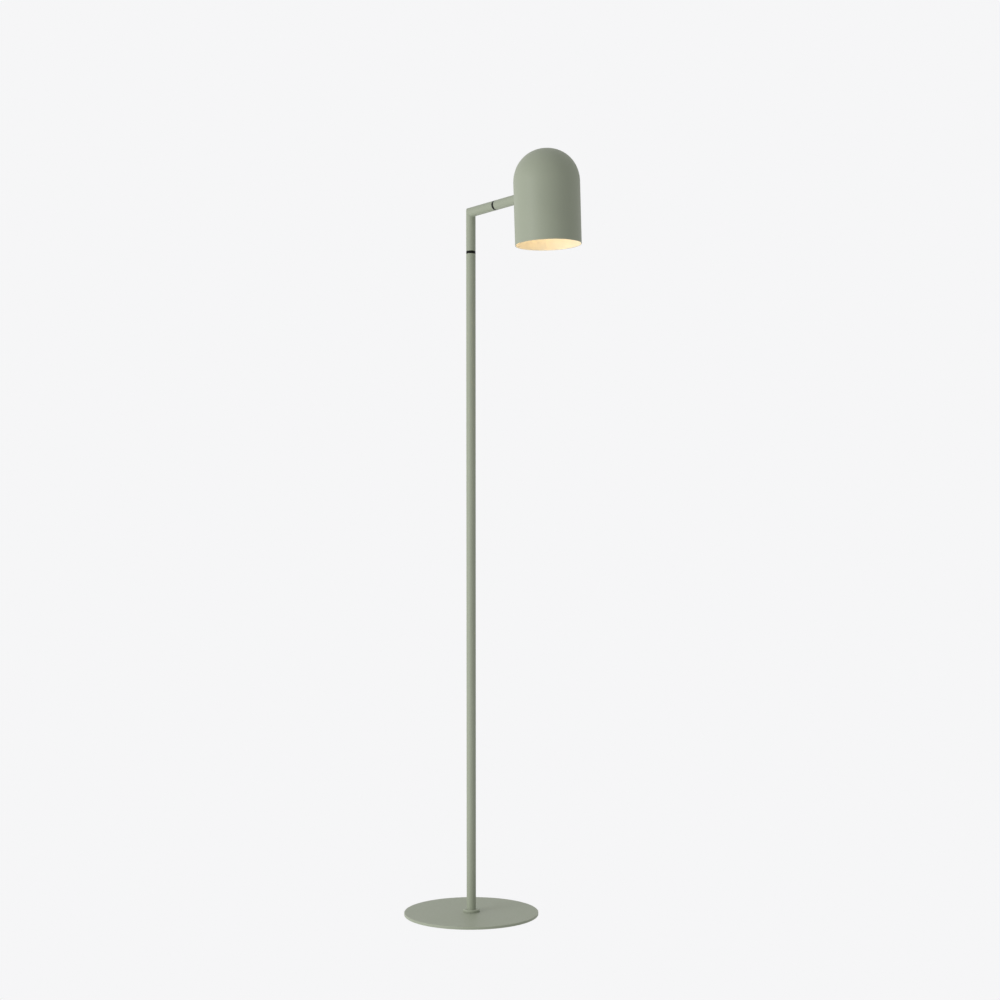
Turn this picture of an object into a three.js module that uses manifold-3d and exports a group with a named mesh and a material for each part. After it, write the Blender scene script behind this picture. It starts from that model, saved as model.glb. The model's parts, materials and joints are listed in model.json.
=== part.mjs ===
// Adjustable arm floor lamp: a slim round pole on a flat disc, a square elbow that swivels on the
// pole, and a bullet-shaped shade that swivels on the elbow's arm.
// Millimetres, +Z up. The origin is the centre of the foot pad's underside, on the pole's axis.
// +X points along the arm, from the pole to the shade.

import * as THREE from 'three';
import { mergeVertices } from 'three/addons/utils/BufferGeometryUtils.js';
import Module from 'manifold-3d';

const manifoldLibrary = await Module();
manifoldLibrary.setup();

// ---------------------------------------------------------------- driving dimensions

const CLEARANCE = 0.3;

// stand
const BASE_DIAMETER = 260;
const PLATE_THICKNESS = 5;
const PLATE_EDGE_BREAK = 0.8;
const PAD_THICKNESS = 1;
const PAD_INSET = 5;
const TUBE_DIAMETER = 18;
const TUBE_WALL = 1.5;
const FLANGE_DIAMETER = 32;
const FLANGE_HEIGHT = 5;
const FLANGE_ROUNDING = 1.6;

// arm
const ARM_HEIGHT = 1350;
const ELBOW_DROP = 76.2;
const ELBOW_REACH = 77.5;
const RING_THICKNESS = 5;
const RING_WALL = 1.9;
const ARM_REACH = 226;

// head
const SHADE_DIAMETER = 120;
const SHADE_HEIGHT = 170;
const SHADE_WALL = 1.2;
const ARM_ABOVE_RIM = 96;
const DOME_FULLNESS = 2.08;
const HEAD_TURN = THREE.MathUtils.degToRad(2.2);

// wiring
const FLEX_DIAMETER = 4.8;
const CORD_INLET_HEIGHT = 26;
const CORD_INLET_AZIMUTH = THREE.MathUtils.degToRad(142);

// fasteners
const STEM_DIAMETER = 7.6;
const STEM_BORE = 5.6;
const STOP_PIN_DIAMETER = 1.4;
const STOP_PIN_RADIUS = 5.7;
const NIPPLE_DIAMETER = 9.6;
const NIPPLE_BORE = 6;
const NIPPLE_NUT_ACROSS_FLATS = 14;

// roundness of turned pieces
const FINE = 64;
const ROUND = 32;
const SMALL = 20;

// ---------------------------------------------------------------- derived sizes

const TUBE_RADIUS = TUBE_DIAMETER / 2;
const TUBE_BORE_RADIUS = TUBE_RADIUS - TUBE_WALL;
const INSERT_RADIUS = TUBE_BORE_RADIUS - CLEARANCE;
const PLATE_TOP = PAD_THICKNESS + PLATE_THICKNESS;
const POLE_BOTTOM = PLATE_TOP + CLEARANCE;
const POLE_SWIVEL_HEIGHT = ARM_HEIGHT - ELBOW_DROP;
const SHADE_RADIUS = SHADE_DIAMETER / 2;
const SHADE_BORE_RADIUS = SHADE_RADIUS - SHADE_WALL;
const DOME_CENTRE = SHADE_HEIGHT - SHADE_RADIUS - ARM_ABOVE_RIM;
const RIM = -ARM_ABOVE_RIM;

// ---------------------------------------------------------------- colours

const FINISHES = {
  sage_paint: { color: 0xa5a99a, roughness: 0.55, metalness: 0.1 },
  black_nylon: { color: 0x161815, roughness: 0.35, metalness: 0 },
  bright_steel: { color: 0xb9bcc0, roughness: 0.3, metalness: 1 },
  black_foam: { color: 0x24262a, roughness: 0.95, metalness: 0 },
  white_plastic: { color: 0xf2f0ea, roughness: 0.4, metalness: 0 },
  opal_diffuser: { color: 0xfff3d6, roughness: 0.35, metalness: 0 },
  ceramic: { color: 0xece8df, roughness: 0.5, metalness: 0 },
  flex_sheath: { color: 0x2a2c2b, roughness: 0.6, metalness: 0 },
};

// ---------------------------------------------------------------- shape helpers

// A turned piece about Z from [radius, height] points that run anticlockwise.
function turned(profile, segments = ROUND) {
  const points = profile.map(([radius, height]) => new THREE.Vector2(radius, height));
  return new THREE.LatheGeometry(points, segments).rotateX(Math.PI / 2);
}

// A ring or sleeve between two heights.
function sleeve(outer, inner, low, high, segments = ROUND) {
  return turned([[inner, low], [outer, low], [outer, high], [inner, high], [inner, low]], segments);
}

// A solid round bar between two heights.
function bar(radius, low, high, segments = ROUND) {
  return turned([[0, low], [radius, low], [radius, high], [0, high]], segments);
}

// Points of a quarter circle, from one angle to another, in the profile's plane.
function arcPoints(centreRadius, centreHeight, radius, from, to, steps) {
  const points = [];
  for (let step = 0; step <= steps; step += 1) {
    const angle = from + ((to - from) * step) / steps;
    const across = centreRadius + radius * Math.cos(angle);
    const up = centreHeight + radius * Math.sin(angle);
    points.push([across, up]);
  }
  return points;
}

function toSolid(geometry) {
  const bare = geometry.clone();
  bare.deleteAttribute('normal');
  bare.deleteAttribute('uv');
  const merged = mergeVertices(bare, 1e-4);
  return new manifoldLibrary.Manifold(new manifoldLibrary.Mesh({
    numProp: 3,
    vertProperties: new Float32Array(merged.attributes.position.array),
    triVerts: new Uint32Array(merged.index.array),
  }));
}

function toGeometry(solid) {
  const mesh = solid.getMesh();
  const geometry = new THREE.BufferGeometry();
  geometry.setAttribute('position', new THREE.BufferAttribute(mesh.vertProperties, 3));
  geometry.setIndex(new THREE.BufferAttribute(mesh.triVerts, 1));
  geometry.computeVertexNormals();
  return geometry;
}

function cut(geometry, ...tools) {
  let solid = toSolid(geometry);
  for (const tool of tools) {
    solid = solid.subtract(toSolid(tool));
  }
  return toGeometry(solid);
}

function common(first, second) {
  return toGeometry(toSolid(first).intersect(toSolid(second)));
}

// A hexagon nut on the Z axis with a plain round hole.
function hexNut(acrossFlats, holeRadius, low, high) {
  const outline = new THREE.Shape();
  const cornerRadius = acrossFlats / Math.sqrt(3);
  for (let corner = 0; corner < 6; corner += 1) {
    const angle = (corner * Math.PI) / 3;
    const x = cornerRadius * Math.cos(angle);
    const y = cornerRadius * Math.sin(angle);
    if (corner === 0) {
      outline.moveTo(x, y);
    } else {
      outline.lineTo(x, y);
    }
  }
  outline.closePath();
  const hole = new THREE.Path();
  hole.absarc(0, 0, holeRadius, 0, 2 * Math.PI, true);
  outline.holes.push(hole);
  const options = { depth: high - low, bevelEnabled: false, curveSegments: 10 };
  return new THREE.ExtrudeGeometry(outline, options).translate(0, 0, low);
}

// Round flex along a smooth curve through the given points. Every stretch between two points gets
// the same number of steps, so the short stretches of a bend stay smooth and long ones stay light.
function flexAlong(points, stepsPerStretch) {
  const section = new THREE.Shape();
  section.absarc(0, 0, FLEX_DIAMETER / 2, 0, 2 * Math.PI, false);
  const route = new THREE.CatmullRomCurve3(points.map((point) => new THREE.Vector3(...point)));
  route.getUtoTmapping = (share) => share;
  const steps = stepsPerStretch * (points.length - 1);
  return new THREE.ExtrudeGeometry(section, { steps, curveSegments: 4, extrudePath: route });
}

// ---------------------------------------------------------------- the tree of bodies

const lamp = new THREE.Group();
const stand = new THREE.Group();
const elbow = new THREE.Group();
const head = new THREE.Group();
lamp.add(stand, elbow, head);
elbow.position.z = ARM_HEIGHT;
head.position.z = ARM_HEIGHT;
head.rotation.x = HEAD_TURN;

function place(parent, name, finish, geometry) {
  const material = new THREE.MeshStandardMaterial(FINISHES[finish]);
  const mesh = new THREE.Mesh(geometry, material);
  mesh.name = name;
  parent.add(mesh);
  return mesh;
}

// ---------------------------------------------------------------- base

const BOLT_SHANK_RADIUS = 4.7;
const BOLT_HEAD_RADIUS = 9;
const BOLT_HEAD_HEIGHT = 3;
const BOLT_THREAD_LENGTH = 13;
const FOOT_WASHER_THICKNESS = 0.8;
const FOOT_PLUG_LENGTH = 11;

function buildBase() {
  const plateRadius = BASE_DIAMETER / 2;
  const padTop = PAD_THICKNESS - CLEARANCE;
  place(stand, 'foot_pad', 'black_foam', bar(plateRadius - PAD_INSET, 0, padTop, FINE));

  const edge = PLATE_EDGE_BREAK;
  const headRadius = BOLT_HEAD_RADIUS + CLEARANCE;
  const sinkTop = PAD_THICKNESS + BOLT_HEAD_HEIGHT + CLEARANCE;
  const holeRadius = BOLT_SHANK_RADIUS + CLEARANCE;
  place(stand, 'base_plate', 'sage_paint', turned([
    [headRadius, PAD_THICKNESS],
    [plateRadius - edge, PAD_THICKNESS],
    [plateRadius, PAD_THICKNESS + edge],
    [plateRadius, PLATE_TOP - edge],
    [plateRadius - edge, PLATE_TOP],
    [holeRadius, PLATE_TOP],
    [holeRadius, sinkTop],
    [headRadius, sinkTop],
    [headRadius, PAD_THICKNESS],
  ], FINE));

  const shankTop = PLATE_TOP + BOLT_THREAD_LENGTH;
  const headTop = PAD_THICKNESS + BOLT_HEAD_HEIGHT;
  place(stand, 'base_bolt', 'bright_steel', turned([
    [0, PAD_THICKNESS],
    [BOLT_HEAD_RADIUS - 1, PAD_THICKNESS],
    [BOLT_HEAD_RADIUS, PAD_THICKNESS + 1],
    [BOLT_HEAD_RADIUS, headTop],
    [BOLT_SHANK_RADIUS, headTop],
    [BOLT_SHANK_RADIUS, shankTop - 1],
    [BOLT_SHANK_RADIUS - 1, shankTop],
    [0, shankTop],
  ], SMALL));

  const round = FLANGE_ROUNDING;
  const flangeRadius = FLANGE_DIAMETER / 2;
  const flangeTop = PLATE_TOP + FLANGE_HEIGHT;
  const flangeBore = TUBE_RADIUS + CLEARANCE;
  const shoulder = arcPoints(flangeRadius - round, flangeTop - round, round, 0, Math.PI / 2, 3);
  place(stand, 'pole_flange', 'sage_paint', turned([
    [flangeBore, PLATE_TOP + CLEARANCE],
    [flangeRadius, PLATE_TOP + CLEARANCE],
    ...shoulder,
    [flangeBore, flangeTop],
    [flangeBore, PLATE_TOP + CLEARANCE],
  ]));
}

// ---------------------------------------------------------------- pole

const BUSH_LIP_RADIUS = 4.4;
const BUSH_SLEEVE_RADIUS = 3.6;
const BUSH_LENGTH = 4;
const BUSH_LIP_THICKNESS = 1.4;

// Turns a piece made along Z so that it lies along the cord inlet's direction.
function towardsInlet(geometry) {
  return geometry
    .rotateY(Math.PI / 2)
    .rotateZ(CORD_INLET_AZIMUTH)
    .translate(0, 0, CORD_INLET_HEIGHT);
}

function buildPole() {
  const top = POLE_SWIVEL_HEIGHT - RING_THICKNESS / 2 - CLEARANCE;
  const inletHole = towardsInlet(bar(BUSH_SLEEVE_RADIUS + CLEARANCE, 4, TUBE_DIAMETER, SMALL));
  place(stand, 'pole_tube', 'sage_paint',
    cut(sleeve(TUBE_RADIUS, TUBE_BORE_RADIUS, POLE_BOTTOM, top), inletHole));

  const washerTop = POLE_BOTTOM + FOOT_WASHER_THICKNESS;
  const washerBore = BOLT_SHANK_RADIUS + 2 * CLEARANCE;
  place(stand, 'foot_lock_washer', 'bright_steel',
    sleeve(INSERT_RADIUS, washerBore, POLE_BOTTOM, washerTop, SMALL));

  const plugBottom = washerTop + CLEARANCE;
  const plugBore = BOLT_SHANK_RADIUS + CLEARANCE;
  place(stand, 'pole_foot_plug', 'bright_steel',
    sleeve(INSERT_RADIUS, plugBore, plugBottom, plugBottom + FOOT_PLUG_LENGTH, SMALL));

  const bushInner = FLEX_DIAMETER / 2 + CLEARANCE;
  const lipStart = TUBE_RADIUS + CLEARANCE;
  const lipEnd = lipStart + BUSH_LIP_THICKNESS;
  const sleeveStart = lipEnd - BUSH_LENGTH;
  place(stand, 'cord_bush', 'black_nylon', towardsInlet(turned([
    [bushInner, sleeveStart],
    [BUSH_SLEEVE_RADIUS, sleeveStart],
    [BUSH_SLEEVE_RADIUS, lipStart],
    [BUSH_LIP_RADIUS, lipStart],
    [BUSH_LIP_RADIUS - 0.5, lipEnd],
    [bushInner, lipEnd],
    [bushInner, sleeveStart],
  ], SMALL)));

  const outward = (distance, height) => [
    distance * Math.cos(CORD_INLET_AZIMUTH),
    distance * Math.sin(CORD_INLET_AZIMUTH),
    height,
  ];
  place(stand, 'pole_flex', 'flex_sheath', flexAlong([
    outward(lipEnd, CORD_INLET_HEIGHT),
    outward(7, CORD_INLET_HEIGHT),
    outward(3.6, CORD_INLET_HEIGHT + 1.5),
    outward(1.1, CORD_INLET_HEIGHT + 5.5),
    outward(0.2, CORD_INLET_HEIGHT + 12),
    [0, 0, CORD_INLET_HEIGHT + 24],
    [0, 0, CORD_INLET_HEIGHT + 60],
    [0, 0, POLE_SWIVEL_HEIGHT / 2],
    [0, 0, POLE_SWIVEL_HEIGHT - CLEARANCE / 2],
  ], 4));
}

// ---------------------------------------------------------------- swivels

const STEM_SUNK = 14;
const PLUG_LENGTH = 16;
const CUP_LENGTH = 16;
const CUP_WEB = 3;
const CUP_CAVITY_RADIUS = 6.4;
const SPRING_THICKNESS = 1;
const SPRING_RADIUS = 6;
const LOCK_NUT_ACROSS_FLATS = 10.2;
const LOCK_NUT_HEIGHT = 5;
const PIN_REACH = 1;
const PIN_SUNK = 4;
const PEG_SUNK = 1.9;
const PIN_SEGMENTS = 12;

// A friction swivel, made along Z with its black ring centred on the local origin. The plug, stem,
// ring, spring washer and lock nut stay with the fixed tube; the cup turns with the other tube.
// Two stop pins meet inside the ring, a little beyond 165 degrees each way.
function buildSwivel(prefix, fixed, turning) {
  const face = RING_THICKNESS / 2 + 2 * CLEARANCE;
  const stemRadius = STEM_DIAMETER / 2;
  const stemHole = stemRadius + CLEARANCE;
  const pinRadius = STOP_PIN_DIAMETER / 2;
  const stopBar = (radius, side, low, high) =>
    bar(radius, low, high, PIN_SEGMENTS).translate(side * STOP_PIN_RADIUS, 0, 0);

  const plugBottom = -face - PLUG_LENGTH;
  place(fixed, `${prefix}_plug`, 'bright_steel', cut(
    sleeve(INSERT_RADIUS, stemHole, plugBottom, -face, SMALL),
    stopBar(pinRadius + CLEARANCE, -1, -face - PIN_SUNK - CLEARANCE, 0),
  ));

  const springLow = face + CUP_WEB + CLEARANCE;
  const nutLow = springLow + SPRING_THICKNESS + CLEARANCE;
  const nutTop = nutLow + LOCK_NUT_HEIGHT;
  place(fixed, `${prefix}_stem`, 'bright_steel',
    sleeve(stemRadius, STEM_BORE / 2, -face - STEM_SUNK, nutTop + 1, SMALL));

  place(fixed, `${prefix}_ring`, 'black_nylon',
    sleeve(TUBE_RADIUS, TUBE_RADIUS - RING_WALL, -RING_THICKNESS / 2, RING_THICKNESS / 2));

  place(fixed, `${prefix}_spring_washer`, 'bright_steel',
    sleeve(SPRING_RADIUS, stemHole, springLow, springLow + SPRING_THICKNESS, SMALL));

  place(fixed, `${prefix}_lock_nut`, 'bright_steel',
    hexNut(LOCK_NUT_ACROSS_FLATS, stemHole, nutLow, nutTop));

  place(fixed, `${prefix}_stop_pin`, 'bright_steel',
    stopBar(pinRadius, -1, -face - PIN_SUNK, PIN_REACH));

  place(turning, `${prefix}_cup`, 'bright_steel', cut(
    turned([
      [stemHole, face],
      [INSERT_RADIUS, face],
      [INSERT_RADIUS, face + CUP_LENGTH],
      [CUP_CAVITY_RADIUS, face + CUP_LENGTH],
      [CUP_CAVITY_RADIUS, face + CUP_WEB],
      [stemHole, face + CUP_WEB],
      [stemHole, face],
    ], SMALL),
    stopBar(pinRadius + CLEARANCE, 1, 0, face + PEG_SUNK + CLEARANCE),
  ));

  place(turning, `${prefix}_stop_peg`, 'bright_steel',
    stopBar(pinRadius, 1, -PIN_REACH, face + PEG_SUNK));
}

// ---------------------------------------------------------------- elbow

// A tube with a square mitre at the local origin: one leg hangs down, the other points along +X.
// It starts as a straight sleeve with a row of points halfway. That row is laid on the mitre plane,
// and the upper end is swung round to face along the arm.
function mitredTube(outer, inner, drop, reach) {
  const straight = turned([
    [inner, -1],
    [outer, -1],
    [outer, 0],
    [outer, 1],
    [inner, 1],
    [inner, 0],
    [inner, -1],
  ]);
  const position = straight.attributes.position;
  for (let index = 0; index < position.count; index += 1) {
    const x = position.getX(index);
    const row = Math.round(position.getZ(index));
    if (row < 0) {
      position.setZ(index, -drop);
    } else {
      position.setZ(index, -x);
    }
    if (row > 0) {
      position.setX(index, reach);
    }
  }
  straight.computeVertexNormals();
  return straight;
}

function buildElbow() {
  const drop = ELBOW_DROP - RING_THICKNESS / 2 - CLEARANCE;
  const reach = ELBOW_REACH - RING_THICKNESS / 2 - CLEARANCE;
  place(elbow, 'elbow_tube', 'sage_paint',
    mitredTube(TUBE_RADIUS, TUBE_BORE_RADIUS, drop, reach));

  const foot = -ELBOW_DROP + CLEARANCE / 2;
  const end = ELBOW_REACH - CLEARANCE / 2;
  place(elbow, 'elbow_flex', 'flex_sheath', flexAlong([
    [0, 0, foot],
    [0, 0, foot + 20],
    [0, 0, -26],
    [0.4, 0, -10],
    [3.2, 0, -3.2],
    [10, 0, -0.4],
    [26, 0, 0],
    [end - 20, 0, 0],
    [end, 0, 0],
  ], 4));
}

// ---------------------------------------------------------------- arm of the head

const TIP_PLUG_LENGTH = 14;
const NIPPLE_SUNK = 12;
const NIPPLE_INSIDE = 12.5;

function buildArm() {
  const start = ELBOW_REACH + RING_THICKNESS / 2 + CLEARANCE;
  const shadeOutside = bar(SHADE_RADIUS + CLEARANCE, -40, 40, FINE).translate(ARM_REACH, 0, 0);
  const blank = sleeve(TUBE_RADIUS, TUBE_BORE_RADIUS, start, ARM_REACH - SHADE_RADIUS + 4);
  place(head, 'arm_tube', 'sage_paint', cut(blank.rotateY(Math.PI / 2), shadeOutside));

  const plugEnd = ARM_REACH - SHADE_RADIUS - 3 * CLEARANCE;
  const plugBore = NIPPLE_DIAMETER / 2 + CLEARANCE;
  const plug = sleeve(INSERT_RADIUS, plugBore, plugEnd - TIP_PLUG_LENGTH, plugEnd, SMALL);
  place(head, 'arm_tip_plug', 'bright_steel', plug.rotateY(Math.PI / 2));
}

// ---------------------------------------------------------------- shade

const DOME_BANDS = 8;
const SHADE_SEGMENTS = 48;

// The dome's outline from the wall up to the axis. It is a quarter circle made a little fuller at
// the shoulder: a fullness of 2 would be the circle itself.
function domePoints(radius) {
  const points = [];
  for (let band = 0; band < DOME_BANDS; band += 1) {
    const angle = (Math.PI / 2) * (band / DOME_BANDS);
    const across = radius * Math.cos(angle) ** (2 / DOME_FULLNESS);
    const up = radius * Math.sin(angle) ** (2 / DOME_FULLNESS);
    points.push([across, DOME_CENTRE + up]);
  }
  points.push([0, DOME_CENTRE + radius]);
  return points;
}

function buildShade(group) {
  const outerDome = domePoints(SHADE_RADIUS);
  const innerDome = domePoints(SHADE_BORE_RADIUS).reverse();
  const shell = turned([
    ...innerDome,
    [SHADE_BORE_RADIUS, RIM],
    [SHADE_RADIUS, RIM],
    ...outerDome,
  ], SHADE_SEGMENTS);
  const holeRadius = NIPPLE_DIAMETER / 2 + CLEARANCE;
  const nippleHole = bar(holeRadius, -SHADE_RADIUS - 5, -SHADE_RADIUS + 5, SMALL);
  place(group, 'shade', 'sage_paint', cut(shell, nippleHole.rotateY(Math.PI / 2)));

  const nippleStart = -SHADE_RADIUS - NIPPLE_SUNK;
  const nippleEnd = -SHADE_RADIUS + NIPPLE_INSIDE;
  place(group, 'shade_nipple', 'bright_steel',
    sleeve(NIPPLE_DIAMETER / 2, NIPPLE_BORE / 2, nippleStart, nippleEnd, SMALL).rotateY(Math.PI / 2));
}

// ---------------------------------------------------------------- lamp holder

const WASHER_RADIUS = 8;
const WASHER_FLAT = -SHADE_BORE_RADIUS + 3.2;
const BRACKET_THICKNESS = 2;
const BRACKET_WIDTH = 16;
const BRACKET_FOOT = -9;
const BRACKET_KNEE = 22;
const BRACKET_SHELF = 50;
const BRACKET_SHELF_START = -30;
const BRACKET_SHELF_END = 11;
const NUT_HEIGHT = 4;
const HOLDER_RADIUS = 19;
const HOLDER_WALL = 2;
const HOLDER_SPLIT = 30;
const HOLDER_MOUTH = 4;

function buildHolder(group) {
  const boreCurve = bar(SHADE_BORE_RADIUS - CLEARANCE, -20, 20, FINE);
  const holeRadius = NIPPLE_DIAMETER / 2 + CLEARANCE;
  const washer = sleeve(WASHER_RADIUS, holeRadius, -SHADE_BORE_RADIUS, WASHER_FLAT, SMALL);
  place(group, 'shade_saddle_washer', 'bright_steel', common(washer.rotateY(Math.PI / 2), boreCurve));

  const outerFace = WASHER_FLAT + CLEARANCE;
  const innerFace = outerFace + BRACKET_THICKNESS;
  const strip = new THREE.Shape();
  strip.moveTo(outerFace, BRACKET_FOOT);
  strip.lineTo(innerFace, BRACKET_FOOT);
  strip.lineTo(innerFace, BRACKET_KNEE - 0.8);
  strip.lineTo(BRACKET_SHELF_START + 0.8, BRACKET_SHELF);
  strip.lineTo(BRACKET_SHELF_END, BRACKET_SHELF);
  strip.lineTo(BRACKET_SHELF_END, BRACKET_SHELF + BRACKET_THICKNESS);
  strip.lineTo(BRACKET_SHELF_START, BRACKET_SHELF + BRACKET_THICKNESS);
  strip.lineTo(outerFace, BRACKET_KNEE);
  strip.closePath();
  const blank = new THREE.ExtrudeGeometry(strip, { depth: BRACKET_WIDTH, bevelEnabled: false })
    .translate(0, 0, -BRACKET_WIDTH / 2)
    .rotateX(Math.PI / 2);
  const sideHole = bar(holeRadius, outerFace - 2, innerFace + 2, SMALL).rotateY(Math.PI / 2);
  const shelfHole = bar(holeRadius, BRACKET_SHELF - 2, BRACKET_SHELF + 6, SMALL);
  place(group, 'holder_bracket', 'bright_steel', cut(blank, sideHole, shelfHole));

  const nutStart = innerFace + CLEARANCE;
  const sideNut = hexNut(NIPPLE_NUT_ACROSS_FLATS, holeRadius, nutStart, nutStart + NUT_HEIGHT);
  place(group, 'shade_nut', 'bright_steel', sideNut.rotateY(Math.PI / 2));

  const shelfTop = BRACKET_SHELF + BRACKET_THICKNESS + CLEARANCE;
  place(group, 'holder_nut', 'bright_steel',
    hexNut(NIPPLE_NUT_ACROSS_FLATS, holeRadius, shelfTop, shelfTop + NUT_HEIGHT));

  const capTop = BRACKET_SHELF - CLEARANCE;
  const capInnerTop = capTop - 3;
  place(group, 'holder_nipple', 'bright_steel',
    sleeve(NIPPLE_DIAMETER / 2, NIPPLE_BORE / 2, capInnerTop - 2, shelfTop + NUT_HEIGHT + 1, SMALL));

  const capRadius = HOLDER_RADIUS - 0.5;
  place(group, 'holder_cap', 'black_nylon', turned([
    [capRadius - HOLDER_WALL, HOLDER_SPLIT],
    [capRadius, HOLDER_SPLIT],
    [capRadius, capTop - 7],
    [capRadius - 3, capTop - 2],
    [capRadius - 7, capTop],
    [holeRadius, capTop],
    [holeRadius, capInnerTop],
    [capRadius - 7.5, capInnerTop],
    [capRadius - HOLDER_WALL, capTop - 8],
    [capRadius - HOLDER_WALL, HOLDER_SPLIT],
  ], 28));

  const threadRadius = 14.2;
  const shellTop = HOLDER_SPLIT - CLEARANCE;
  place(group, 'holder_shell', 'black_nylon', turned([
    [threadRadius, HOLDER_MOUTH],
    [HOLDER_RADIUS - 1, HOLDER_MOUTH],
    [HOLDER_RADIUS, HOLDER_MOUTH + 1],
    [HOLDER_RADIUS, shellTop],
    [threadRadius, shellTop],
    [threadRadius, HOLDER_MOUTH],
  ], 28));

  const insertLow = HOLDER_SPLIT + 2 * CLEARANCE;
  place(group, 'holder_contact_block', 'ceramic', bar(13, insertLow, insertLow + 8, 24));
}

// ---------------------------------------------------------------- bulb

const BULB_RADIUS = 22.5;
const BULB_SCREW_RADIUS = 13.2;
const BULB_TIP = -46;
const GLOBE_SHOULDER = THREE.MathUtils.degToRad(12.7);
const GLOBE_BANDS = 8;

function buildBulb(group) {
  const screwTop = HOLDER_SPLIT - 3;
  const screwLow = HOLDER_MOUTH + 1;
  place(group, 'bulb_screw_cap', 'bright_steel', turned([
    [0, screwLow],
    [BULB_SCREW_RADIUS, screwLow],
    [BULB_SCREW_RADIUS, screwTop - 4],
    [7, screwTop - 1],
    [4.8, screwTop + 2],
    [0, screwTop + 2],
  ], 24));

  const collarLow = BULB_TIP + BULB_RADIUS + 6;
  const collarTop = screwLow - CLEARANCE;
  place(group, 'bulb_collar', 'white_plastic', turned([
    [0, collarLow],
    [BULB_RADIUS - 0.6, collarLow],
    [BULB_RADIUS - 1.4, collarLow + 5],
    [BULB_SCREW_RADIUS + 0.4, collarTop - 4],
    [BULB_SCREW_RADIUS, collarTop],
    [0, collarTop],
  ], 28));

  const globeCentre = BULB_TIP + BULB_RADIUS;
  const globe = arcPoints(0, globeCentre, BULB_RADIUS, -Math.PI / 2, GLOBE_SHOULDER, GLOBE_BANDS);
  globe[0][0] = 0;
  const globeTop = collarLow - CLEARANCE;
  place(group, 'bulb_diffuser', 'opal_diffuser', turned([
    ...globe,
    [BULB_RADIUS - 0.8, globeTop],
    [0, globeTop],
  ], 28));
}

// ---------------------------------------------------------------- wiring of the head

// From the arm's swivel, out through the shade's nipple, up beside the bracket, over its shelf and
// down into the lamp holder.
function buildHeadFlex() {
  const fromShadeAxis = (x, y, z) => [ARM_REACH + x, y, z];
  const nippleMouth = -SHADE_RADIUS + NIPPLE_INSIDE;
  place(head, 'head_flex', 'flex_sheath', flexAlong([
    [ELBOW_REACH + CLEARANCE / 2, 0, 0],
    [ELBOW_REACH + 40, 0, 0],
    fromShadeAxis(-SHADE_RADIUS, 0, 0),
    fromShadeAxis(nippleMouth, 0, 0),
    fromShadeAxis(-38, 2, 2),
    fromShadeAxis(-33, 9, 12),
    fromShadeAxis(-34, 13, 28),
    fromShadeAxis(-30, 13.5, 45),
    fromShadeAxis(-21, 10, 59),
    fromShadeAxis(-9, 3, 67),
    fromShadeAxis(-1.2, 0, 65),
    fromShadeAxis(0, 0, 58),
    fromShadeAxis(0, 0, 50),
    fromShadeAxis(0, 0, 42),
  ], 4));
}

// ---------------------------------------------------------------- assembly

buildBase();
buildPole();

const poleSwivel = new THREE.Group();
const poleSwivelTurning = new THREE.Group();
poleSwivel.position.z = POLE_SWIVEL_HEIGHT;
poleSwivelTurning.position.z = -ELBOW_DROP;
stand.add(poleSwivel);
elbow.add(poleSwivelTurning);
buildSwivel('pole_swivel', poleSwivel, poleSwivelTurning);

buildElbow();

const armSwivel = new THREE.Group();
const armSwivelTurning = new THREE.Group();
for (const group of [armSwivel, armSwivelTurning]) {
  group.position.x = ELBOW_REACH;
  group.rotation.y = Math.PI / 2;
}
elbow.add(armSwivel);
head.add(armSwivelTurning);
buildSwivel('arm_swivel', armSwivel, armSwivelTurning);

buildArm();

const shadeGroup = new THREE.Group();
shadeGroup.position.x = ARM_REACH;
head.add(shadeGroup);
buildShade(shadeGroup);
buildHolder(shadeGroup);
buildBulb(shadeGroup);
buildHeadFlex();

export default lamp;
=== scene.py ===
# %% [markdown]
# # An adjustable arm floor lamp, made by a welder, a metal spinner and a painter
#
# The real lamp is a heavy steel disc, a slim pole, a short square elbow and a spun shade on a
# straight arm. Everything metal gets one coat of sage-green powder paint. Two black nylon rings
# mark the places where the lamp swivels.
#
# The CAD frame already holds the sizes, the joints and the plain solids. This lesson gives each
# visible piece a fine surface made in mesh code, and a finish made from shader nodes.

import json
import math

import bmesh
import bpy
from mathutils import Matrix, Vector


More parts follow.
